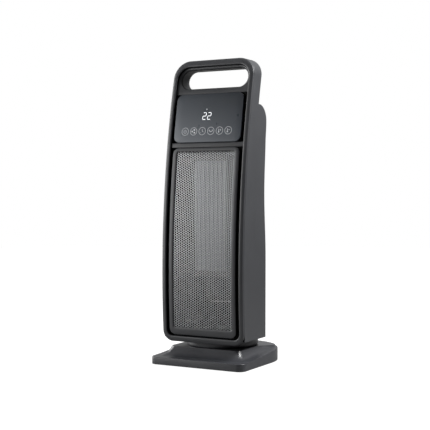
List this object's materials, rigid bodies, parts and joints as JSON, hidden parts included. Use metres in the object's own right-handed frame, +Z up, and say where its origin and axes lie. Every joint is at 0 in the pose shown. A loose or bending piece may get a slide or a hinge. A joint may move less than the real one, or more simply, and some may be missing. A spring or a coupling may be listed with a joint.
{
  "type": "ceramic tower fan heater",
  "caption": "Slim tower fan heater with a carrying handle opening, touch panel, perforated outlet grille, ceramic core and cross-flow blower, swivelling on a low base.",
  "frame": {"origin": "on the floor under the swivel axis, which is the middle of the base", "axes": "+X across the heater to the viewer's right, front faces -Y, +Z up along the swivel axis"},
  "size_m": [0.199, 0.216, 0.58],
  "materials": {
    "satin_grey": "satin moulded ABS",
    "black_plastic": "fine satin moulded black plastic",
    "gloss_black": "semi-gloss moulded black ABS",
    "smoked_panel": "glossy smoked acrylic",
    "steel_sheet": "punched and coated silver steel",
    "bright_steel": "zinc-plated steel",
    "aluminium": "bare aluminium fins",
    "rubber": "moulded rubber",
    "white_nylon": "natural nylon",
    "heat_resin": "heat-resistant moulded resin",
    "board_green": "glass-fibre circuit board",
    "filter_net": "fine nylon filter net"
  },
  "bodies": {
    "base": {"base_plate": "black_plastic", "base_screw_1": "bright_steel", "base_screw_2": "bright_steel", "base_screw_3": "bright_steel", "base_screw_4": "bright_steel", "base_shell": "gloss_black", "drive_motor": "bright_steel", "drive_motor_screw_1": "bright_steel", "drive_motor_screw_2": "bright_steel", "foot_front_left": "rubber", "foot_front_right": "rubber", "foot_rear_left": "rubber", "foot_rear_right": "rubber", "cord_gland": "rubber", "swivel_bush": "white_nylon"},
    "tower": {"blower_duct": "heat_resin", "blower_motor": "bright_steel", "blower_motor_screw_1": "bright_steel", "blower_motor_screw_2": "bright_steel", "control_board": "board_green", "control_panel": "smoked_panel", "display_module": "black_plastic", "duct_screw_left": "bright_steel", "duct_screw_right": "bright_steel", "dust_filter": "filter_net", "front_fascia": "black_plastic", "front_frame": "satin_grey", "grille_frame": "satin_grey", "grille_mesh": "steel_sheet", "heater_bracket_bottom": "heat_resin", "heater_bracket_top": "heat_resin", "heater_core": "aluminium", "housing_screw_1": "bright_steel", "housing_screw_2": "bright_steel", "housing_screw_3": "bright_steel", "housing_screw_4": "bright_steel", "hub_screw_1": "bright_steel", "hub_screw_2": "bright_steel", "intake_grille": "satin_grey", "neck_screw_1": "bright_steel", "neck_screw_2": "bright_steel", "neck_screw_3": "bright_steel", "power_board": "board_green", "rear_housing": "satin_grey", "relay_1": "black_plastic", "relay_2": "black_plastic", "sector_gear": "white_nylon", "supply_capacitor": "black_plastic", "switch_bezel": "black_plastic", "swivel_neck": "gloss_black", "thermal_cutout": "black_plastic", "tilt_switch": "black_plastic", "touch_light_guide": "white_nylon", "tower_floor": "black_plastic", "upper_bearing": "rubber"},
    "drive_pinion": {"drive_pinion": "white_nylon", "drive_shaft": "bright_steel"},
    "blower": {"impeller": "black_plastic", "impeller_shaft": "bright_steel"},
    "power_rocker": {"power_rocker": "rubber"}
  },
  "joints": [
    {"name": "tower_swivel", "type": "hinge", "parent": "base", "child": "tower", "pos_m": [0, 0, 0.033], "axis": [0, 0, 1], "range_deg": [-35, 35]},
    {"name": "pinion_spin", "type": "hinge", "parent": "base", "child": "drive_pinion", "pos_m": [0, 0.0555, 0.02], "axis": [0, 0, 1], "range_deg": [-155, 155]},
    {"name": "impeller_spin", "type": "hinge", "parent": "tower", "child": "blower", "pos_m": [0, 0.006, 0.28], "axis": [0, 0, 1], "continuous": true},
    {"name": "rocker_tilt", "type": "hinge", "parent": "tower", "child": "power_rocker", "pos_m": [0, 0.0532, 0.078], "axis": [1, 0, 0], "range_deg": [-16, 0]}
  ],
  "couplings": [
    {"joint": "pinion_spin", "follows": "tower_swivel", "ratio": -4.2857}
  ]
}
